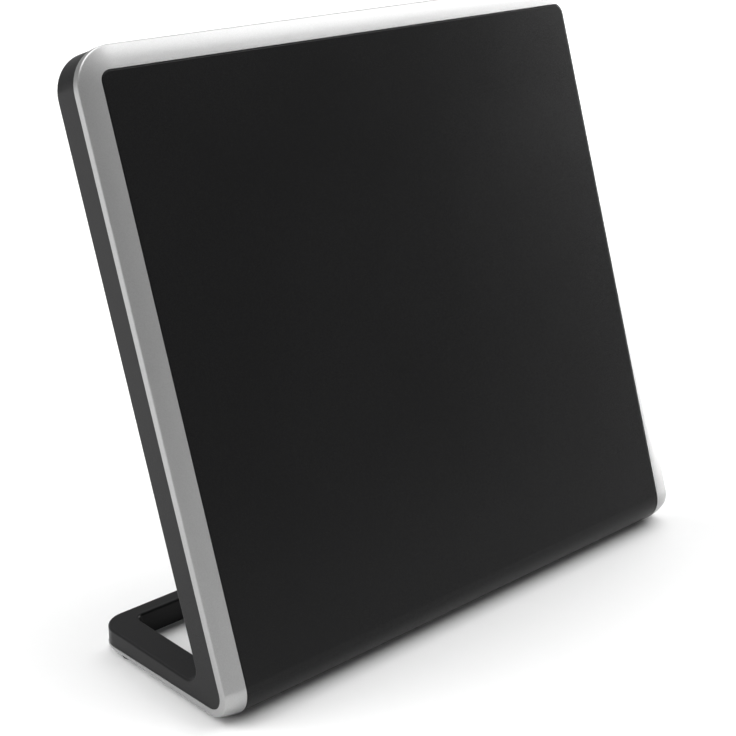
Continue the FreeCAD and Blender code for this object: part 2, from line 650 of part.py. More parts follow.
box(sketch, CHANNEL[0], CHANNEL[1], "Sizes.window_front", CHANNEL_END, "1")
box(sketch, "-(%s)" % CHANNEL[1], "-(%s)" % CHANNEL[0], "Sizes.window_front", CHANNEL_END, "1")
cut(cover, sketch, "Sizes.foot_thickness - Sizes.wall", "front")

# Rubber pads: pressed into shallow seats under the foot
for label, place in (
    ("foot_pad_front_left", PAD_FRONT[0]),
    ("foot_pad_front_right", PAD_FRONT[1]),
    ("foot_pad_back_left", PAD_BACK[0]),
    ("foot_pad_back_right", PAD_BACK[1]),
):
    pad = new_body(label)
    sketch = foot_sketch(pad, "disc", "-Sizes.pad_lift")
    circles(sketch, [place], "Sizes.pad_radius")
    add(pad, sketch, "Sizes.pad_lift + Sizes.pad_recess")


# Screws: round heads, with a cross recess on the ones that show, one group for each place
def cross(sketch, place):
    x, y = place
    long = "Sizes.slot_length / 2"
    short = "Sizes.slot_width / 2"
    steps = [
        ("+", long, "-", short), ("+", long, "+", short), ("+", short, "+", short), ("+", short, "+", long),
        ("-", short, "+", long), ("-", short, "+", short), ("-", long, "+", short), ("-", long, "-", short),
        ("-", short, "-", short), ("-", short, "-", long), ("+", short, "-", long), ("+", short, "-", short),
    ]
    corners = [("%s %s %s" % (x, a, u), "%s %s %s" % (y, b, v)) for a, u, b, v in steps]
    outline(sketch, [(corner, "0") for corner in corners])


def screws(label, places, seat, shank, head_way):
    group = new_body(label)
    shank_way = "front" if head_way == "back" else "back"
    sketch = panel_sketch(group, "heads", seat)
    circles(sketch, places, "Sizes.screw_head_radius")
    add(group, sketch, "Sizes.screw_head", head_way)
    sketch = panel_sketch(group, "shanks", seat)
    circles(sketch, places, "Sizes.screw_radius")
    add(group, sketch, shank, shank_way)
    return group


SCREW_SEAT = BOSS_END + " + Sizes.well_floor"
cover_screws = screws(
    "cover_screws", COVER_SCREWS, SCREW_SEAT, "Sizes.well_floor + Sizes.screw_grip", "back"
)
sketch = panel_sketch(cover_screws, "recesses", SCREW_SEAT + " + Sizes.screw_head")
for place in COVER_SCREWS:
    cross(sketch, place)
cut(cover_screws, sketch, "Sizes.slot_depth", "front")
screws("board_screws", BOARD_SCREWS, "Sizes.board_depth",
       "Sizes.board_thickness + Sizes.board_screw_grip", "front")
screws("amplifier_screws", AMP_SCREWS, AMP_FRONT,
       "Sizes.amp_thickness + Sizes.board_screw_grip", "front")

# Aerial board: laminate sheet on four bosses of the rear cover
board = new_body("antenna_board")
sketch = panel_sketch(board, "sheet", "Sizes.board_depth")
box(sketch, "-(%s)" % BOARD_HALF, BOARD_HALF, "Sizes.board_low", BOARD_HIGH, "2")
circles(sketch, BOARD_SCREWS, "Sizes.screw_hole_radius")
circles(sketch, FEEDS, "Sizes.feed_radius")
add(board, sketch, "Sizes.board_thickness", "back")

# Short elements: copper wedges either side of the feed
LOOP_OUT = BOARD_HALF + " - Sizes.loop_inset"
LOOP_IN = LOOP_OUT + " - Sizes.loop_width"
for label, sign, feed in (("uhf_element_left", "-", FEEDS[0]), ("uhf_element_right", "", FEEDS[1])):
    element = new_body(label)
    sketch = panel_sketch(element, "wedge", "Sizes.board_depth")
    inner = sign + "Sizes.element_gap"
    outer = sign + "(%s - Sizes.element_clear)" % LOOP_IN
    outline(sketch, [
        ((inner, FEED + " - Sizes.element_tip"), "0"),
        ((outer, FEED + " - Sizes.element_spread"), "0"),
        ((outer, FEED + " + Sizes.element_spread"), "0"),
        ((inner, FEED + " + Sizes.element_tip"), "0"),
    ])
    circles(sketch, [feed], "Sizes.feed_radius")
    add(element, sketch, "Sizes.foil")

# Long loop: copper track round the board, open at the bottom
loop = new_body("vhf_loop")
sketch = panel_sketch(loop, "track", "Sizes.board_depth")
LOOP_LOW = "Sizes.board_low + Sizes.loop_inset"
LOOP_TOP = BOARD_HIGH + " - Sizes.loop_inset"
outline(sketch, [(place, "0") for place in (
    ("Sizes.element_gap", LOOP_LOW), (LOOP_OUT, LOOP_LOW), (LOOP_OUT, LOOP_TOP),
    ("-(%s)" % LOOP_OUT, LOOP_TOP), ("-(%s)" % LOOP_OUT, LOOP_LOW), ("-Sizes.element_gap", LOOP_LOW),
    ("-Sizes.element_gap", LOOP_LOW + " + Sizes.loop_width"),
    ("-(%s)" % LOOP_IN, LOOP_LOW + " + Sizes.loop_width"),
    ("-(%s)" % LOOP_IN, LOOP_TOP + " - Sizes.loop_width"),
    (LOOP_IN, LOOP_TOP + " - Sizes.loop_width"),
    (LOOP_IN, LOOP_LOW + " + Sizes.loop_width"),
    ("Sizes.element_gap", LOOP_LOW + " + Sizes.loop_width"),
)])
add(loop, sketch, "Sizes.foil")

# Feed pins: soldered through both boards
feed_pins = new_body("feed_pins")
sketch = panel_sketch(feed_pins, "pins", "Sizes.board_depth - Sizes.foil - Sizes.feed_stub")
circles(sketch, FEEDS, "Sizes.feed_radius")
add(
    feed_pins, sketch,
    AMP_BACK + " - Sizes.board_depth + Sizes.foil + 2 * Sizes.feed_stub", "back",
)

# Amplifier board: carries the matching core, the amplifier and the supply parts
amp = new_body("amplifier_board")
sketch = panel_sketch(amp, "sheet", AMP_FRONT)
around(sketch, ("0", "Sizes.bay_place"), "Sizes.amp_width", "Sizes.amp_height", "1")
circles(sketch, AMP_SCREWS, "Sizes.screw_hole_radius")
circles(sketch, FEEDS, "Sizes.feed_radius")
circles(sketch, COAX, "Sizes.contact_radius")
add(amp, sketch, "Sizes.amp_thickness", "back")

balun = new_body("balun_core")
sketch = panel_sketch(balun, "block", AMP_BACK)
BALUN = ("0", FEED + " - Sizes.balun_drop")
around(sketch, BALUN, "Sizes.balun_width", "Sizes.balun_height", "1")
circles(sketch, mirrored("Sizes.balun_width / 4", BALUN[1]), "Sizes.balun_bore_radius")
add(balun, sketch, "Sizes.balun_rise", "back")

CAN = ("Sizes.can_side", "Sizes.bay_place - Sizes.can_drop")
chip = new_body("amplifier_chip")
sketch = panel_sketch(chip, "block", AMP_BACK)
around(sketch, CAN, "Sizes.chip_size", "Sizes.chip_size")
add(chip, sketch, "Sizes.chip_rise", "back")

can = new_body("shield_can")
sketch = panel_sketch(can, "block", AMP_BACK)
around(sketch, CAN, "Sizes.can_width", "Sizes.can_height", "1")
add(can, sketch, "Sizes.can_rise", "back")
sketch = panel_sketch(can, "hollow", AMP_BACK)
around(
    sketch, CAN, "Sizes.can_width - 2 * Sizes.can_sheet", "Sizes.can_height - 2 * Sizes.can_sheet",
    "1 - Sizes.can_sheet",
)
cut(can, sketch, "Sizes.can_rise - Sizes.can_sheet")

capacitor = new_body("supply_capacitor")
sketch = panel_sketch(capacitor, "can", AMP_BACK)
circles(sketch, [("-Sizes.capacitor_side", "Sizes.bay_place")], "Sizes.capacitor_radius")
add(capacitor, sketch, "Sizes.capacitor_rise", "back")

choke = new_body("supply_choke")
sketch = panel_sketch(choke, "drum", AMP_BACK)
CHOKE = [("Sizes.choke_side", "Sizes.bay_place - Sizes.amp_height / 2 + Sizes.choke_low")]
circles(sketch, CHOKE, "Sizes.choke_radius")
add(choke, sketch, "Sizes.choke_rise", "back")

# Aerial socket: flanged barrel through the bay, clamped by a washer and a hexagon nut
coax = new_body("coax_socket")
sketch = panel_sketch(coax, "flange", BAY_IN)
circles(sketch, COAX, "Sizes.coax_flange_radius")
add(coax, sketch, "Sizes.coax_flange")
sketch = panel_sketch(coax, "barrel", BAY_IN)
circles(sketch, COAX, "Sizes.coax_radius")
add(coax, sketch, "Sizes.wall + Sizes.coax_reach", "back")
sketch = panel_sketch(coax, "bore", BAY_IN + " - Sizes.coax_flange")
circles(sketch, COAX, "Sizes.coax_bore_radius")
cut(coax, sketch, "Sizes.coax_flange + Sizes.wall + Sizes.coax_reach + 1")
sketch = panel_sketch(coax, "nut_thread", BAY_OUT + " + Sizes.washer_thickness")
circles(sketch, COAX, "Sizes.coax_radius + 1")
circles(sketch, COAX, "Sizes.coax_thread_radius")
cut(coax, sketch, "Sizes.nut_height")

insulator = new_body("coax_insulator")
sketch = panel_sketch(insulator, "core", BAY_IN + " - Sizes.coax_flange")
circles(sketch, COAX, "Sizes.coax_bore_radius")
add(
    insulator, sketch, "Sizes.coax_flange + Sizes.wall + Sizes.coax_reach - Sizes.coax_mouth", "back",
)
sketch = panel_sketch(insulator, "contact_hole", BAY_IN + " - Sizes.coax_flange")
circles(sketch, COAX, "Sizes.contact_radius")
cut(insulator, sketch, "Sizes.coax_flange + Sizes.wall + Sizes.coax_reach")
sketch = panel_sketch(insulator, "eye", BAY_OUT + " + Sizes.coax_reach")
circles(sketch, COAX, "Sizes.coax_eye_radius")
cut(insulator, sketch, "Sizes.contact_reach", "front")

contact = new_body("coax_contact")
sketch = panel_sketch(contact, "pin", AMP_FRONT + " - Sizes.feed_stub")
circles(sketch, COAX, "Sizes.contact_radius")
add(
    contact, sketch,
    "%s + Sizes.coax_reach - Sizes.contact_reach - (%s - Sizes.feed_stub)" % (BAY_OUT, AMP_FRONT), "back",
)

washer = new_body("coax_washer")
sketch = panel_sketch(washer, "ring", BAY_OUT)
circles(sketch, COAX, "Sizes.washer_radius")
circles(sketch, COAX, "Sizes.coax_radius + Sizes.coax_gap")
add(washer, sketch, "Sizes.washer_thickness", "back")

nut = new_body("coax_nut")
sketch = panel_sketch(nut, "hexagon", BAY_OUT + " + Sizes.washer_thickness")
x, y = COAX[0]
corners = [
    "%s + Sizes.nut_flats / 2 / cos(30) * cos(%d)" % (x, 60 * i) for i in range(6)
]
heights = [
    "%s + Sizes.nut_flats / 2 / cos(30) * sin(%d)" % (y, 60 * i) for i in range(6)
]
outline(sketch, [(place, "0") for place in zip(corners, heights)])
circles(sketch, COAX, "Sizes.coax_thread_radius")
add(nut, sketch, "Sizes.nut_height", "back")

# Supply socket: moulded body on the amplifier board, its nose in the bay's hole
jack = new_body("dc_jack")
sketch = panel_sketch(jack, "block", AMP_BACK)
around(sketch, JACK[0], "Sizes.jack_size", "Sizes.jack_size", "0.8")
add(jack, sketch, BAY_IN + " - (%s)" % AMP_BACK, "back")
sketch = panel_sketch(jack, "nose", BAY_IN)
circles(sketch, JACK, "Sizes.jack_nose_radius")
add(jack, sketch, "Sizes.jack_nose", "back")
sketch = panel_sketch(jack, "bore", BAY_IN + " + Sizes.jack_nose")
circles(sketch, JACK, "Sizes.jack_bore_radius")
cut(jack, sketch, "Sizes.jack_bore", "front")
sketch = panel_sketch(jack, "pin_hole", AMP_BACK)
circles(sketch, JACK, "Sizes.jack_pin_radius")
cut(jack, sketch, BAY_IN + " + Sizes.jack_nose - Sizes.jack_bore - (%s) + 0.5" % AMP_BACK)
SPRING = ("Sizes.jack_side + Sizes.jack_bore_radius", "Sizes.bay_place")
sketch = panel_sketch(jack, "spring_slot", AMP_BACK)
around(sketch, SPRING, "2 * Sizes.jack_spring", "Sizes.jack_spring_width")
cut(jack, sketch, "Sizes.jack_pin - 1")

dc_pin = new_body("dc_pin")
sketch = panel_sketch(dc_pin, "pin", AMP_BACK)
circles(sketch, JACK, "Sizes.jack_pin_radius")
add(
    dc_pin, sketch,
    BAY_IN + " + Sizes.jack_nose - Sizes.jack_bore + Sizes.jack_pin - (%s)" % AMP_BACK, "back",
)

spring = new_body("dc_spring")
sketch = panel_sketch(spring, "strip", AMP_BACK)
around(sketch, SPRING, "2 * Sizes.jack_spring", "Sizes.jack_spring_width")
add(spring, sketch, "Sizes.jack_pin - 1", "back")

# Export: every body must be sound before its file is written
doc.recompute()
for item in doc.Objects:
    if "Invalid" in item.State or "Error" in item.State:
        raise RuntimeError("%s is %s" % (item.Name, item.State))
for body in [item for item in doc.Objects if item.isDerivedFrom("PartDesign::Body")]:
    if body.Shape.isNull() or not body.Shape.isValid() or not body.Shape.Solids:
        raise RuntimeError("%s has no sound solid" % body.Label)
    body.Shape.exportStep("parts/%s.step" % body.Label)
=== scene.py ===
import math

import bmesh
import bpy
from mathutils import Matrix, Vector


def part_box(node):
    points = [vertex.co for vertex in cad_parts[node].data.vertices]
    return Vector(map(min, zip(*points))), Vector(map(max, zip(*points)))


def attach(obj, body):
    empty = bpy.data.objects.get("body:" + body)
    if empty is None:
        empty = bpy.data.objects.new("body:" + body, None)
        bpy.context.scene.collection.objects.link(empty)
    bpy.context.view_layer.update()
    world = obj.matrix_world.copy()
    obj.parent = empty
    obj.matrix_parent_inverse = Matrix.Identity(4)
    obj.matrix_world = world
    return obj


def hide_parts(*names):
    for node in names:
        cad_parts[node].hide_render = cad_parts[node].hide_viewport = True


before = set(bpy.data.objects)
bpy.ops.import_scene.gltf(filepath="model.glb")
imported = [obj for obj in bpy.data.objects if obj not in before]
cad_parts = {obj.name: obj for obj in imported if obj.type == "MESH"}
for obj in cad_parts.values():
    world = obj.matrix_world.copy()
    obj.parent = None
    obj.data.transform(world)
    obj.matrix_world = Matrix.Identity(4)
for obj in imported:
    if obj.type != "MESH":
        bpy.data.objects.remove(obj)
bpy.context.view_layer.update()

# Bezel frame: the silver border that runs round the panel, the bend and the foot.
# One moulding with a crowned face, sprayed with satin silver paint; the other mouldings
# are fixed to it.
MICRON = 0.000001
SILVER_SHADES = (0.348, 0.348, 0.348), (0.482, 0.482, 0.482)


class Wire:
    """One output of a shader node. Sums on wires add the Math nodes that work them out."""

    def __init__(self, tree, socket):
        self.tree = tree
        self.socket = socket

    def node(self, kind, settings, sockets, output=0):
        made = self.tree.nodes.new(kind)
        for name, setting in settings.items():
            setattr(made, name, setting)
        for name, content in sockets.items():
            if isinstance(content, Wire):
                self.tree.links.new(content.socket, made.inputs[name])
            else:
                made.inputs[name].default_value = content
        return Wire(self.tree, made.outputs[output])

    def sum(self, operation, first, second):
        return self.node("ShaderNodeMath", {"operation": operation}, {0: first, 1: second})

    def __add__(self, other):
        return self.sum("ADD", self, other)

    __radd__ = __add__

    def __mul__(self, other):
        return self.sum("MULTIPLY", self, other)

    __rmul__ = __mul__

    def __sub__(self, other):
        return self.sum("SUBTRACT", self, other)

    def __rsub__(self, other):
        return self.sum("SUBTRACT", other, self)

    def noise(self, grains, detail=2.0, roughness=0.5):
        """Cloudy noise with this many grains to the metre."""
        sockets = {"Vector": self, "Scale": grains, "Detail": detail, "Roughness": roughness}
        return self.node("ShaderNodeTexNoise", {}, sockets)

    def cells(self, grains):
        """A random value for each of many small cells."""
        sockets = {"Vector": self, "Scale": grains}
        found = self.node("ShaderNodeTexVoronoi", {}, sockets, "Color")
        return found.node("ShaderNodeSeparateColor", {}, {"Color": found})

    def stretch(self, factors):
        return self.node("ShaderNodeMapping", {}, {"Vector": self, "Scale": factors})

    def between(self, low, high, start=0.0, end=1.0):
        """This value spread from start..end to low..high, and held at the ends."""
        sockets = {
            "Value": self, "From Min": start, "From Max": end, "To Min": low, "To Max": high,
        }
        return self.node("ShaderNodeMapRange", {"clamp": True}, sockets)

    def tint(self, first, second):
        """From one colour to another as this value goes from 0 to 1."""
        sockets = {0: self, 6: (*first, 1), 7: (*second, 1)}
        return self.node("ShaderNodeMix", {"data_type": "RGBA"}, sockets, 2)

    def relief(self, depth, strength):
        """Normals of a surface whose height is this value times depth, in metres."""
        sockets = {"Height": self, "Distance": depth, "Strength": strength}
        return self.node("ShaderNodeBump", {}, sockets)

    def feed(self, shader, name):
        self.tree.links.new(self.socket, shader.inputs[name])


def new_finish(name, **settings):
    """A material, its shader, and the wire of Object coordinates that its patterns read."""
    material = bpy.data.materials.new(name)
    material.use_nodes = True
    tree = material.node_tree
    shader = tree.nodes["Principled BSDF"]
    for socket, content in settings.items():
        shader.inputs[socket.replace("_", " ")].default_value = content
    place = Wire(tree, tree.nodes.new("ShaderNodeTexCoord").outputs["Object"])
    return material, shader, place


def as_piece(mesh, node, name, finish, crease):
    """The piece of a mesh that stands for its CAD node, shaded smooth up to its creases."""
    mesh.polygons.foreach_set("use_smooth", [True] * len(mesh.polygons))
    mesh.set_sharp_from_angle(angle=math.radians(crease))
    mesh.materials.clear()
    mesh.materials.append(finish)
    piece = bpy.data.objects.new(name, mesh)
    bpy.context.scene.collection.objects.link(piece)
    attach(piece, "root")
    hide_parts(node)
    return piece


def merged_solid(node):
    """A copy of a CAD node's loose triangles, merged into one skin."""
    skin = bmesh.new()
    skin.from_mesh(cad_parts[node].data)
    bmesh.ops.remove_doubles(skin, verts=skin.verts, dist=2 * MICRON)
    return skin


def moulding(node, name, finish, crease):
    """A moulding's own solid, with even shading over its long thin faces."""
    skin = merged_solid(node)
    bmesh.ops.dissolve_degenerate(skin, edges=skin.edges, dist=MICRON)
    mesh = bpy.data.meshes.new(name)
    skin.to_mesh(mesh)
    skin.free()
    for spare in ("custom_normal", "sharp_edge", "sharp_face"):
        if spare in mesh.attributes:
            mesh.attributes.remove(mesh.attributes[spare])
    piece = as_piece(mesh, node, name, finish, crease)
    even = piece.modifiers.new("even_shading", "WEIGHTED_NORMAL")
    even.keep_sharp = True
    even.weight = 50


silver, shader, place = new_finish("silver_paint", Coat_Weight=0.25, Coat_Roughness=0.22)
flakes = place.cells(9000)
clouds = place.noise(14, 3)
orange_peel = place.noise(900, 2)
(flakes * 0.6 + clouds * 0.4).tint(*SILVER_SHADES).feed(shader, "Base Color")
flakes.between(0.76, 0.94).feed(shader, "Metallic")
(flakes.between(0.33, 0.43) + clouds.between(-0.02, 0.03)).feed(shader, "Roughness")
(flakes * 0.5 + orange_peel).relief(12 * MICRON, 0.6).feed(shader, "Normal")
moulding("bezel_frame", "silver_bezel", silver, crease=32)

# Front panel: a thin black moulding bent round the bottom edge, with a fine satin texture.
# It lies flush inside the silver border and is bonded to the ledge behind it.
BLACK_SHADES = (0.0060, 0.0060, 0.0062), (0.0080, 0.0080, 0.0083)
black, shader, place = new_finish("black_satin", Specular_IOR_Level=0.155)
satin = place.noise(5200, 2, 0.6)
drift = place.noise(9, 3)
drift.tint(*BLACK_SHADES).feed(shader, "Base Color")
sheen = satin.between(0.23, 0.31, 0.3, 0.7) + drift.between(-0.02, 0.02, 0.3, 0.7)
sheen.feed(shader, "Roughness")
satin.relief(10 * MICRON, 0.5).feed(shader, "Normal")
moulding("front_panel", "black_panel", black, crease=40)

# Aerial board and amplifier board: glass-fibre laminate under green resist, screwed to bosses
# inside the rear cover. The weave of the glass shows faintly through the resist.
RESIST_SHADES = (0.018, 0.085, 0.030), (0.045, 0.150, 0.060)
WEAVE_PITCH = 0.0011
BANDS_PER_SCALE = 3


def dress(finish, *nodes):
    for node in nodes:
        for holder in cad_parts[node].material_slots:
            holder.material = finish


def threads(place, axis):
    """The rise and fall of one set of parallel threads, side by side along an axis."""
    settings = {"wave_type": "BANDS", "wave_profile": "SIN", "bands_direction": axis}
    scale = 1 / WEAVE_PITCH / BANDS_PER_SCALE
    sockets = {"Vector": place, "Scale": scale, "Distortion": 0.4}
    return place.node("ShaderNodeTexWave", settings, sockets, "Fac")


laminate, shader, place = new_finish("laminate", Coat_Weight=0.5, Coat_Roughness=0.18)
warp = threads(place, "X")
weft = threads(place, "Z")
weave = warp * weft + (1 - warp) * (1 - weft)
blotch = place.noise(45, 3)
(weave * 0.7 + blotch * 0.3).tint(*RESIST_SHADES).feed(shader, "Base Color")
blotch.between(0.30, 0.42).feed(shader, "Roughness")
weave.relief(15 * MICRON, 0.5).feed(shader, "Normal")
dress(laminate, "antenna_board", "amplifier_board")

# Copper elements: the wedges and the loop of foil that catch the signal, etched on the board.
# The foil is bright where it is clean and browned in patches.
COPPER_SHADES = (0.80, 0.42, 0.26), (0.52, 0.24, 0.13)
copper, shader, place = new_finish("copper", Metallic=1.0)
tarnish = place.noise(60, 4, 0.6)
rolled = place.stretch((3000, 60, 60)).noise(1, 2)
tarnish.tint(*COPPER_SHADES).feed(shader, "Base Color")
(tarnish.between(0.22, 0.45) + rolled * 0.06).feed(shader, "Roughness")
rolled.relief(4 * MICRON, 0.4).feed(shader, "Normal")
dress(copper, "uhf_element_left", "uhf_element_right", "vhf_loop")

# Feed pins: tinned wires that carry the signal from the foil to the amplifier, soldered at
# both boards.
TIN_SHADES = (0.60, 0.60, 0.58), (0.78, 0.78, 0.76)
tinned, shader, place = new_finish("tinned_pins", Metallic=1.0)
solder = place.noise(1600, 3)
solder.tint(*TIN_SHADES).feed(shader, "Base Color")
solder.between(0.24, 0.42).feed(shader, "Roughness")
solder.relief(15 * MICRON, 0.5).feed(shader, "Normal")
dress(tinned, "feed_pins")

# Board screws: small steel screws, zinc plated, driven through the two boards into the
# moulded bosses behind them. Their heads keep the fine rings of turning.
ZINC_SHADES = (0.46, 0.47, 0.48), (0.64, 0.65, 0.66)
zinc, shader, place = new_finish("zinc_steel", Metallic=1.0)
plating = place.noise(700, 3)
turned = place.stretch((400, 400, 9000)).noise(1, 2)
plating.tint(*ZINC_SHADES).feed(shader, "Base Color")
(plating.between(0.26, 0.40) + turned * 0.05).feed(shader, "Roughness")
turned.relief(6 * MICRON, 0.4).feed(shader, "Normal")
dress(zinc, "board_screws", "amplifier_screws")

# Ferrite core and choke: black ferrite, pressed and fired, with the dull grain of the powder.
# Both are soldered to the amplifier board.
FERRITE_SHADES = (0.030, 0.030, 0.033), (0.062, 0.061, 0.065)
ferrite, shader, place = new_finish("ferrite")
sinter = place.noise(2600, 4, 0.65)
sinter.tint(*FERRITE_SHADES).feed(shader, "Base Color")
sinter.between(0.55, 0.75).feed(shader, "Roughness")
sinter.relief(30 * MICRON, 0.6).feed(shader, "Normal")
dress(ferrite, "balun_core", "supply_choke")

# Amplifier chip: a black moulded package with a matt, sand-blasted face, soldered flat on
# the amplifier board.
CHIP_SHADES = (0.014, 0.014, 0.015), (0.026, 0.026, 0.027)
chip, shader, place = new_finish("chip_black")
grain = place.noise(7000, 3)
grain.tint(*CHIP_SHADES).feed(shader, "Base Color")
grain.between(0.50, 0.66).feed(shader, "Roughness")
grain.relief(10 * MICRON, 0.5).feed(shader, "Normal")
dress(chip, "amplifier_chip")

# Shield can: a lid of folded tinplate over the amplifier, soldered to its board, with the
# spangle of the tin.
TINPLATE_SHADES = (0.60, 0.60, 0.58), (0.74, 0.74, 0.72)
tinplate, shader, place = new_finish("tinplate", Metallic=1.0)
spangle = place.cells(420)
spangle.tint(*TINPLATE_SHADES).feed(shader, "Base Color")
(spangle.between(0.20, 0.34) + place.noise(900, 2) * 0.05).feed(shader, "Roughness")
place.noise(150, 2).relief(30 * MICRON, 0.4).feed(shader, "Normal")
dress(tinplate, "shield_can")

# Supply capacitor: a drawn aluminium can that stands on the amplifier board, with the fine
# lines of drawing along its side.
CAN_SHADES = (0.62, 0.62, 0.63), (0.78, 0.78, 0.79)
can_metal, shader, place = new_finish("capacitor_can", Metallic=1.0)
drawn = place.stretch((5000, 5000, 90)).noise(1, 3)
drawn.tint(*CAN_SHADES).feed(shader, "Base Color")
drawn.between(0.24, 0.40).feed(shader, "Roughness")
drawn.relief(5 * MICRON, 0.5).feed(shader, "Normal")
dress(can_metal, "supply_capacitor")

# Aerial socket: a nickel-plated brass barrel with a fine thread, flanged inside the bay.
# Everything on it is turned about one line, square to the leaning back of the panel.
LEAN = math.radians(18.25)
FLOOR_LINE = Vector((0.0, -0.0391262, 0.0006))
AERIAL_SIDE = -0.019
SOCKET_HEIGHT = 0.062
BAY_FACE = 0.0197
BAY_WALL = 0.0020
BARREL_RADIUS = 0.0047
BARREL_REACH = 0.0105
BARREL_STEPS = 56
BORE_RADIUS = 0.0031
BORE_EASE = 0.0002
FLANGE_RADIUS = 0.0060
FLANGE_THICKNESS = 0.0025
WASHER_THICKNESS = 0.0007
NUT_HEIGHT = 0.0026
THREAD_PITCH = 0.00079
THREAD_DEPTH = 0.00042
THREAD_UNDER_NUT = 0.0004
THREAD_RUNOUT = 0.0003
MOUTH_BEVEL = 0.0004
# Each corner of a tooth: its share of the pitch, and of the depth of the thread.
TOOTH = ((0.0, 0.0), (0.10, 0.0), (0.46, 1.0), (0.60, 1.0))
SPARE_TEETH = 2
NICKEL_SHADES = (0.58, 0.56, 0.52), (0.70, 0.68, 0.64)


def out_of_back(side, along, depth):
    """The place on the back whose own Z runs straight out of the panel, and Y down it."""
    up = Vector((0, math.sin(LEAN), math.cos(LEAN)))
    out = Vector((0, math.cos(LEAN), -math.sin(LEAN)))
    spot = FLOOR_LINE + Vector((side, 0, 0)) + up * along + out * depth
    turn = Matrix((Vector((1, 0, 0)), -up, out)).transposed().to_4x4()
    return Matrix.Translation(spot) @ turn


def spun(shape, profile, steps, closed=False, climb=0.0):
    """Spins a chain of radius and height once about the Z axis, climbing on the way."""
    corners = [shape.verts.new((radius, 0, height)) for radius, height in profile]
    edges = [shape.edges.new(pair) for pair in zip(corners, corners[1:])]
    if closed:
        edges.append(shape.edges.new((corners[-1], corners[0])))
    bmesh.ops.spin(
        shape, geom=corners + edges, cent=(0, 0, 0), axis=(0, 0, 1),
        dvec=(0, 0, climb / steps), angle=math.tau, steps=steps, use_merge=not climb,
    )


def turned_shape(profile, steps):
    """A solid of revolution: its profile starts on the axis, or else is a closed ring."""
    shape = bmesh.new()
    spun(shape, profile, steps, closed=profile[0][0] > 0)
    bmesh.ops.remove_doubles(shape, verts=shape.verts, dist=MICRON)
    bmesh.ops.recalc_face_normals(shape, faces=shape.faces)
    return shape


def threaded(start, end):
    """A helical thread between two heights, cut square at both ends and left open there."""
    shape = bmesh.new()
    teeth = round((end - start) / THREAD_PITCH) + 2 * SPARE_TEETH
    profile = [
        (BARREL_RADIUS - (1 - rise) * THREAD_DEPTH, start + (tooth + share) * THREAD_PITCH)
        for tooth in range(-SPARE_TEETH, teeth - SPARE_TEETH) for share, rise in TOOTH
    ]
    spun(shape, profile, BARREL_STEPS, climb=THREAD_PITCH)
    bmesh.ops.remove_doubles(shape, verts=shape.verts, dist=2 * MICRON)
    for height, way in ((start, -1), (end, 1)):
        bmesh.ops.bisect_plane(
            shape, geom=shape.verts[:] + shape.edges[:] + shape.faces[:], dist=MICRON / 2,
            plane_co=(0, 0, height), plane_no=(0, 0, way), clear_outer=True,
        )
    return shape


def open_rims(shape, height):
    """The open edges of a shape that lie at one height."""
    return [
        edge for edge in shape.edges
        if edge.is_boundary and all(abs(v.co.z - height) < 2 * MICRON for v in edge.verts)
    ]


def finished(shape, spots, node, name, finish, crease):
    """Puts a shape at each of its spots, as one piece that stands for its CAD node."""
    one = bpy.data.meshes.new(name + "_one")
    shape.to_mesh(one)
    shape.free()
    whole = bmesh.new()
    for spot in spots:
        kept = len(whole.verts)
        whole.from_mesh(one)
        whole.verts.ensure_lookup_table()
        bmesh.ops.transform(whole, matrix=spot, verts=whole.verts[kept:])
    bpy.data.meshes.remove(one)
    mesh = bpy.data.meshes.new(name)
    whole.to_mesh(mesh)
    whole.free()
    as_piece(mesh, node, name, finish, crease)


nickel, shader, place = new_finish("nickel", Metallic=1.0)
plated = place.noise(500, 3)
fingering = place.noise(120, 4, 0.6)
plated.tint(*NICKEL_SHADES).feed(shader, "Base Color")
(fingering.between(0.16, 0.30) + plated * 0.06).feed(shader, "Roughness")
plated.relief(5 * MICRON, 0.4).feed(shader, "Normal")

thread_foot = WASHER_THICKNESS + NUT_HEIGHT - THREAD_UNDER_NUT
thread_mouth = BARREL_REACH - MOUTH_BEVEL
neck_top = thread_foot - THREAD_RUNOUT
neck_radius = BARREL_RADIUS - THREAD_DEPTH
flange_back = -BAY_WALL - FLANGE_THICKNESS
barrel = threaded(thread_foot, thread_mouth)
spun(barrel, [
    (neck_radius, neck_top), (neck_radius, -BAY_WALL), (FLANGE_RADIUS, -BAY_WALL),
    (FLANGE_RADIUS, flange_back), (BORE_RADIUS, flange_back),
    (BORE_RADIUS, BARREL_REACH - BORE_EASE), (BORE_RADIUS + BORE_EASE, BARREL_REACH),
    (neck_radius, BARREL_REACH),
], BARREL_STEPS)
bmesh.ops.remove_doubles(barrel, verts=barrel.verts, dist=MICRON)
for first, second in ((thread_mouth, BARREL_REACH), (thread_foot, neck_top)):
    bmesh.ops.bridge_loops(barrel, edges=open_rims(barrel, first) + open_rims(barrel, second))
bmesh.ops.recalc_face_normals(barrel, faces=barrel.faces)
aerial_place = out_of_back(AERIAL_SIDE, SOCKET_HEIGHT, BAY_FACE)
finished(barrel, [aerial_place], "coax_socket", "aerial_socket", nickel, crease=38)

# Insulator and contact: the white core pressed into the barrel, its mouth flared to lead the
# wire in, and the sprung brass sleeve behind that mouth.
CORE_FACE = BARREL_REACH - 0.0006
CORE_EASE = 0.0003
CORE_STEPS = 40
EYE_RADIUS = 0.0009
EYE_END = BARREL_REACH - 0.0060
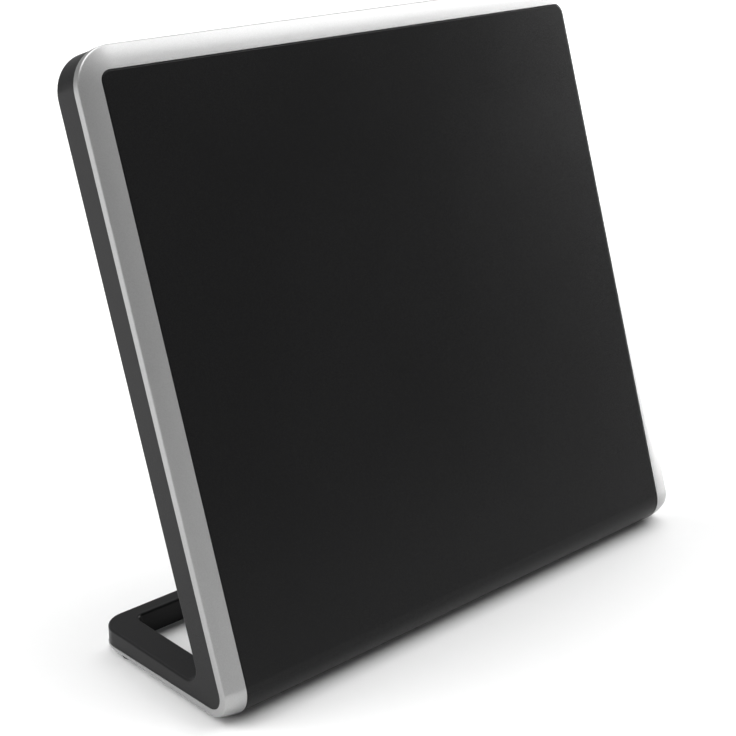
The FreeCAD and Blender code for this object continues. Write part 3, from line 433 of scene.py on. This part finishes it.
# Each corner of the flare: out from the eye, and in from the face.
FLARE = ((0.0009, 0.0), (0.0005, 0.0002), (0.0, 0.0009))
SLEEVE_RADIUS = 0.0006
CORE_SHADES = (0.74, 0.73, 0.69), (0.82, 0.81, 0.77)
BRASS_SHADES = (0.74, 0.56, 0.25), (0.60, 0.43, 0.18)
white_core, shader, place = new_finish(
    "white_core", Subsurface_Weight=0.1, Subsurface_Radius=(0.0008, 0.0006, 0.0005)
)
milky = place.noise(600, 3)
milky.tint(*CORE_SHADES).feed(shader, "Base Color")
milky.between(0.34, 0.48).feed(shader, "Roughness")
milky.relief(10 * MICRON, 0.4).feed(shader, "Normal")
core = turned_shape([
    (SLEEVE_RADIUS, flange_back), (BORE_RADIUS, flange_back),
    (BORE_RADIUS, CORE_FACE - CORE_EASE), (BORE_RADIUS - CORE_EASE, CORE_FACE),
    *((EYE_RADIUS + out, CORE_FACE - deep) for out, deep in FLARE),
    (EYE_RADIUS, EYE_END), (SLEEVE_RADIUS, EYE_END),
], CORE_STEPS)
finished(core, [aerial_place], "coax_insulator", "aerial_core", white_core, crease=30)

brass, shader, place = new_finish("contact_brass", Metallic=1.0)
patina = place.noise(900, 3)
patina.tint(*BRASS_SHADES).feed(shader, "Base Color")
patina.between(0.22, 0.38).feed(shader, "Roughness")
patina.relief(5 * MICRON, 0.4).feed(shader, "Normal")
dress(brass, "coax_contact")

# Washer and nut: a plain stamped washer and a thin hexagon nut, nickel plated, that clamp the
# barrel to the bay. The nut's corners are turned off at both faces.
WASHER_RADIUS = 0.0070
WASHER_CLEAR = 0.00015
WASHER_EASE = 0.0002
NUT_FLATS = 0.0110
NUT_BORE = 0.0045
NUT_TOP = WASHER_THICKNESS + NUT_HEIGHT
EYE_EASE = 0.00012
CORNER_CUT = 0.00015
CORNER_SLOPE = math.radians(30)
CORNER_STEPS = 24
washer = turned_shape([
    (BARREL_RADIUS + WASHER_CLEAR, 0), (WASHER_RADIUS, 0),
    (WASHER_RADIUS, WASHER_THICKNESS - WASHER_EASE),
    (WASHER_RADIUS - WASHER_EASE, WASHER_THICKNESS),
    (BARREL_RADIUS + 2 * WASHER_CLEAR, WASHER_THICKNESS),
    (BARREL_RADIUS + WASHER_CLEAR, WASHER_THICKNESS - EYE_EASE),
], BARREL_STEPS)
finished(washer, [aerial_place], "coax_washer", "aerial_washer", nickel, crease=30)


def ring(shape, radius, height, steps):
    """The edges of a new circle at one height."""
    made = bmesh.ops.create_circle(
        shape, cap_ends=False, radius=radius, segments=steps,
        matrix=Matrix.Translation((0, 0, height)),
    )
    return list(dict.fromkeys(edge for vert in made["verts"] for edge in vert.link_edges))


nut = bmesh.new()
bmesh.ops.create_circle(
    nut, cap_ends=True, radius=NUT_FLATS / 2 / math.cos(math.pi / 6), segments=6,
    matrix=Matrix.Translation((0, 0, WASHER_THICKNESS)) @ Matrix.Rotation(math.pi / 6, 4, "Z"),
)
risen = bmesh.ops.extrude_face_region(nut, geom=nut.faces[:])["geom"]
top_corners = [corner for corner in risen if isinstance(corner, bmesh.types.BMVert)]
bmesh.ops.translate(nut, vec=(0, 0, NUT_HEIGHT), verts=top_corners)
bmesh.ops.recalc_face_normals(nut, faces=nut.faces)
for face_height, way in ((WASHER_THICKNESS, -1), (NUT_TOP, 1)):
    for step in range(CORNER_STEPS):
        angle = math.tau * (step + 0.5) / CORNER_STEPS
        outward = Vector((math.cos(angle), math.sin(angle), 0))
        upright = Vector((0, 0, way))
        trimmed = bmesh.ops.bisect_plane(
            nut, geom=nut.verts[:] + nut.edges[:] + nut.faces[:], dist=MICRON / 10,
            plane_co=outward * (NUT_FLATS / 2 - CORNER_CUT) + Vector((0, 0, face_height)),
            plane_no=outward * math.sin(CORNER_SLOPE) + upright * math.cos(CORNER_SLOPE),
            clear_outer=True,
        )
        rim = [edge for edge in trimmed["geom_cut"] if isinstance(edge, bmesh.types.BMEdge)]
        bmesh.ops.contextual_create(nut, geom=rim)
bmesh.ops.remove_doubles(nut, verts=nut.verts, dist=2 * MICRON)
ends = [f for f in nut.faces if abs(f.normal.z) > 0.999 and len(f.verts) >= CORNER_STEPS]
ends.sort(key=lambda end: end.calc_center_median().z)
low_rim, high_rim = (list(end.edges) for end in ends)
bmesh.ops.delete(nut, geom=ends, context="FACES_ONLY")
low_eye = ring(nut, NUT_BORE + EYE_EASE, WASHER_THICKNESS, CORNER_STEPS)
high_eye = ring(nut, NUT_BORE + EYE_EASE, NUT_TOP, CORNER_STEPS)
low_bore = ring(nut, NUT_BORE, WASHER_THICKNESS + EYE_EASE, CORNER_STEPS)
high_bore = ring(nut, NUT_BORE, NUT_TOP - EYE_EASE, CORNER_STEPS)
for first, second in (
    (low_rim, low_eye), (high_rim, high_eye),
    (low_eye, low_bore), (high_eye, high_bore), (low_bore, high_bore),
):
    bmesh.ops.bridge_loops(nut, edges=first + second)
bmesh.ops.recalc_face_normals(nut, faces=nut.faces)
finished(nut, [aerial_place], "coax_nut", "aerial_nut", nickel, crease=25)

# Supply socket: a black moulded body on the amplifier board whose round nose fills a hole of
# the bay, with a plated centre pin and a brass spring in its bore.
SUPPLY_SIDE = 0.0225
AMPLIFIER_BACK = 0.0098
BAY_INSIDE = BAY_FACE - BAY_WALL
NOSE_REACH = 0.0015
NOSE_ROUND = 0.0003
SHARP_EDGE = math.radians(60)
JACK_BORE_DEPTH = 0.0083
PIN_RADIUS = 0.0010
PIN_LENGTH = 0.0070
PIN_STEPS = 32
# Each corner of the pin's tip: its share of the radius, and in from the end.
PIN_TIP = ((1.0, 0.0005), (0.9, 0.0002), (0.6, 0.0))
SOCKET_SHADES = (0.014, 0.014, 0.015), (0.024, 0.024, 0.025)
socket_black, shader, place = new_finish("socket_black")
mould = place.noise(3500, 3)
mould.tint(*SOCKET_SHADES).feed(shader, "Base Color")
mould.between(0.30, 0.46).feed(shader, "Roughness")
mould.relief(10 * MICRON, 0.4).feed(shader, "Normal")
supply_place = out_of_back(SUPPLY_SIDE, SOCKET_HEIGHT, BAY_INSIDE)
into_bay = supply_place.inverted()
jack = merged_solid("dc_jack")
bmesh.ops.dissolve_limit(
    jack, angle_limit=math.radians(1), verts=jack.verts, edges=jack.edges
)
nose_rims = [
    edge for edge in jack.edges
    if edge.calc_face_angle() > SHARP_EDGE
    and all(abs((into_bay @ v.co).z - NOSE_REACH) < 5 * MICRON for v in edge.verts)
]
bmesh.ops.bevel(
    jack, geom=nose_rims, offset=NOSE_ROUND, offset_type="OFFSET", segments=3, profile=0.5,
    affect="EDGES", material=-1,
)
in_place = [Matrix.Identity(4)]
finished(jack, in_place, "dc_jack", "supply_socket", socket_black, crease=32)

pin_root = AMPLIFIER_BACK - BAY_INSIDE
pin_end = NOSE_REACH - JACK_BORE_DEPTH + PIN_LENGTH
pin = turned_shape([
    (0, pin_root), (PIN_RADIUS, pin_root),
    *((PIN_RADIUS * share, pin_end - deep) for share, deep in PIN_TIP), (0, pin_end),
], PIN_STEPS)
finished(pin, [supply_place], "dc_pin", "supply_pin", nickel, crease=35)
dress(brass, "dc_spring")

# Rear cover: one dark-grey moulding, the back of the panel and the upper half of the foot.
# Its outside has the fine even grain of a spark-eroded mould.
GREY_SHADES = (0.010, 0.010, 0.0104), (0.014, 0.014, 0.0145)
dark_grey, shader, place = new_finish("dark_grey", Specular_IOR_Level=0.145)
eroded = place.noise(2600, 3, 0.6)
drift = place.noise(11, 3)
(eroded * 0.5 + drift * 0.5).tint(*GREY_SHADES).feed(shader, "Base Color")
sheen = eroded.between(0.27, 0.37, 0.3, 0.7) + drift.between(-0.03, 0.03, 0.3, 0.7)
sheen.feed(shader, "Roughness")
eroded.relief(35 * MICRON, 0.55).feed(shader, "Normal")
moulding("rear_cover", "dark_cover", dark_grey, crease=32)

# Cover screws: four pan-head steel screws, zinc plated, at the bottom of their wells, with a
# tapered cross recess. They pull the rear cover on to the bosses of the bezel.
SCREW_SIDE = 0.089
SCREW_LOW = 0.038
SCREW_HIGH = 0.1819
SCREW_SEAT = 0.0076
SCREW_STEPS = 24
HEAD_RADIUS = 0.0026
HEAD_HEIGHT = 0.0018
CROWN = 0.00005
# Each ring of the head: its share of the radius, and down from the top.
HEAD = ((0.72, CROWN), (0.90, 0.0003), (0.985, 0.0007), (1.0, 0.0011), (1.0, HEAD_HEIGHT))
SHANK_RADIUS = 0.00125
SHANK_END = -0.0045
POINT_LENGTH = 0.0006
POINT_SHARE = 0.4
CROSS_LONG = 0.0015
CROSS_SHORT = 0.0004
CROSS_DEPTH = 0.0010
CROSS_TAPER = 0.62
screw = bmesh.new()
cross = [screw.verts.new((x, y, HEAD_HEIGHT)) for x, y in (
    (CROSS_LONG, -CROSS_SHORT), (CROSS_LONG, CROSS_SHORT), (CROSS_SHORT, CROSS_SHORT),
    (CROSS_SHORT, CROSS_LONG), (-CROSS_SHORT, CROSS_LONG), (-CROSS_SHORT, CROSS_SHORT),
    (-CROSS_LONG, CROSS_SHORT), (-CROSS_LONG, -CROSS_SHORT), (-CROSS_SHORT, -CROSS_SHORT),
    (-CROSS_SHORT, -CROSS_LONG), (CROSS_SHORT, -CROSS_LONG), (CROSS_SHORT, -CROSS_SHORT),
)]
recess = screw.faces.new(cross)
loops = [list(recess.edges)]
sunk = bmesh.ops.extrude_discrete_faces(screw, faces=[recess])["faces"]
bmesh.ops.translate(screw, vec=(0, 0, -CROSS_DEPTH), verts=sunk[0].verts)
bmesh.ops.scale(screw, vec=(CROSS_TAPER, CROSS_TAPER, 1), verts=sunk[0].verts)
for radius, height in (
    *((HEAD_RADIUS * share, HEAD_HEIGHT - deep) for share, deep in HEAD),
    (SHANK_RADIUS, -CROWN), (SHANK_RADIUS, SHANK_END + POINT_LENGTH),
    (SHANK_RADIUS * POINT_SHARE, SHANK_END),
):
    loops.append(ring(screw, radius, height, SCREW_STEPS))
for first, second in zip(loops, loops[1:]):
    bmesh.ops.bridge_loops(screw, edges=first + second)
bmesh.ops.contextual_create(screw, geom=loops[-1])
bmesh.ops.recalc_face_normals(screw, faces=screw.faces)
screw_places = [
    out_of_back(side, along, SCREW_SEAT)
    for along in (SCREW_LOW, SCREW_HIGH) for side in (-SCREW_SIDE, SCREW_SIDE)
]
finished(screw, screw_places, "cover_screws", "cover_screw_heads", zinc, crease=28)

# Foot pads: four black rubber discs with rounded rims, pressed into shallow seats under the
# foot so that it stands a little off the table and does not slide.
PAD_RADIUS = 0.0030
PAD_TOP = 0.0018
PAD_STEPS = 40
# Each corner of the rounded rim: in from the side, and up from the table.
PAD_RIM = ((0.00035, 0.0), (0.000105, 0.000105), (0.0, 0.00035))
RUBBER_SHADES = (0.020, 0.020, 0.020), (0.040, 0.039, 0.038)
rubber, shader, place = new_finish("rubber", Sheen_Weight=0.15)
dusty = place.noise(1800, 4, 0.6)
dusty.tint(*RUBBER_SHADES).feed(shader, "Base Color")
dusty.between(0.70, 0.90).feed(shader, "Roughness")
dusty.relief(30 * MICRON, 0.5).feed(shader, "Normal")
for corner in ("front_left", "front_right", "back_left", "back_right"):
    seat = "foot_pad_" + corner
    low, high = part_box(seat)
    middle = (low + high) / 2
    pad = turned_shape([
        (0, 0), *((PAD_RADIUS - inward, rise) for inward, rise in PAD_RIM),
        (PAD_RADIUS, PAD_TOP), (0, PAD_TOP),
    ], PAD_STEPS)
    spot = Matrix.Translation((middle.x, middle.y, low.z))
    finished(pad, [spot], seat, "rubber_pad_" + corner, rubber, crease=50)

# Studio floor: a wide sheet of matt white paper that the object stands on. It reaches far
# enough to fill the view from any side.
FLOOR_HALF = 60.0
FLOOR_SHADES = (0.90, 0.90, 0.90), (0.92, 0.92, 0.92)
white_floor, shader, place = new_finish("white_floor", Roughness=0.7, Specular_IOR_Level=0.2)
place.noise(3, 2).tint(*FLOOR_SHADES).feed(shader, "Base Color")
paper = bmesh.new()
bmesh.ops.create_grid(paper, x_segments=1, y_segments=1, size=FLOOR_HALF)
mesh = bpy.data.meshes.new("floor")
paper.to_mesh(mesh)
paper.free()
mesh.materials.append(white_floor)
floor = bpy.data.objects.new("floor", mesh)
bpy.context.scene.collection.objects.link(floor)

# Studio light: what the glossy faces mirror is a lit ceiling over dim walls, a white card close
# to the right edge and a softbox high on the right. Three wide washes light the floor and leave
# soft shadows in front of the panel.
OVERHEAD = (-0.04, 0.14, 0.989)
CEILING_GLOW = 3.1
HAZE_GLOW = 0.65
WALL_GLOW = 0.3


def soft_step(value, start, end):
    """From 0 to 1 as a value goes from start to end, with no hard edge."""
    settings = {"interpolation_type": "SMOOTHSTEP"}
    sockets = {"Value": value, "From Min": start, "From Max": end}
    return value.node("ShaderNodeMapRange", settings, sockets)


def lamp(kind, name, place, aim, power, **form):
    """A lamp out of the camera's sight, turned from its place towards its aim."""
    light = bpy.data.lights.new(name, kind)
    light.energy = power
    for setting, content in form.items():
        setattr(light, setting, content)
    holder = bpy.data.objects.new(name, light)
    holder.location = place
    holder.rotation_euler = (Vector(aim) - Vector(place)).to_track_quat("-Z", "Y").to_euler()
    holder.visible_camera = False
    bpy.context.scene.collection.objects.link(holder)
    return holder


world = bpy.data.worlds.new("studio")
world.use_nodes = True
tree = world.node_tree
glow = tree.nodes["Background"]
glow.inputs["Color"].default_value = (1, 1, 1, 1)
around = Wire(tree, tree.nodes.new("ShaderNodeTexCoord").outputs["Generated"])
above = around.node(
    "ShaderNodeVectorMath", {"operation": "DOT_PRODUCT"}, {0: around, 1: OVERHEAD}, "Value"
)
ceiling = soft_step(above, 0.80, 0.97)
haze = soft_step(above, 0.60, 0.90)
(ceiling * CEILING_GLOW + haze * HAZE_GLOW + WALL_GLOW).feed(glow, "Strength")
bpy.context.scene.world = world
world.cycles_visibility.diffuse = False

for name, place, aim, width, height, power in (
    ("right_card", (0.34, -0.035, 0.152), (0, -0.035, 0.152), 0.21, 0.30, 1.2),
    ("right_softbox", (0.99, -0.50, 1.20), (0, 0, 0.18), 0.85, 0.85, 8.4),
):
    panel = lamp("AREA", name, place, aim, power, shape="RECTANGLE", size=width, size_y=height)
    panel.visible_diffuse = False
for name, place, spread, power in (
    ("right_wash", (0.4226, 0.0, 0.9063), 70, 2.86),
    ("front_wash", (0.5792, -0.5792, 0.5736), 60, 0.62),
    ("back_wash", (-0.5792, 0.5792, 0.5736), 50, 2.86),
):
    wash = lamp("SUN", name, place, (0, 0, 0), power, angle=math.radians(spread))
    wash.visible_glossy = False

# Camera: at the place and angle that the photo was taken from, tilted down at the panel, with
# the frame shifted a little. Colours are shown as they are.
camera = bpy.data.cameras.new("camera")
camera.lens = 77.82
camera.sensor_width = 36.0
camera.shift_x = -0.01376
camera.shift_y = 0.0365
viewer = bpy.data.objects.new("camera", camera)
viewer.location = (-0.33480, -0.35063, 0.26089)
viewer.rotation_euler = (math.radians(90 - 21.804), 0, math.radians(-42.765))
bpy.context.scene.collection.objects.link(viewer)
bpy.context.scene.camera = viewer
bpy.context.scene.view_settings.view_transform = "Standard"
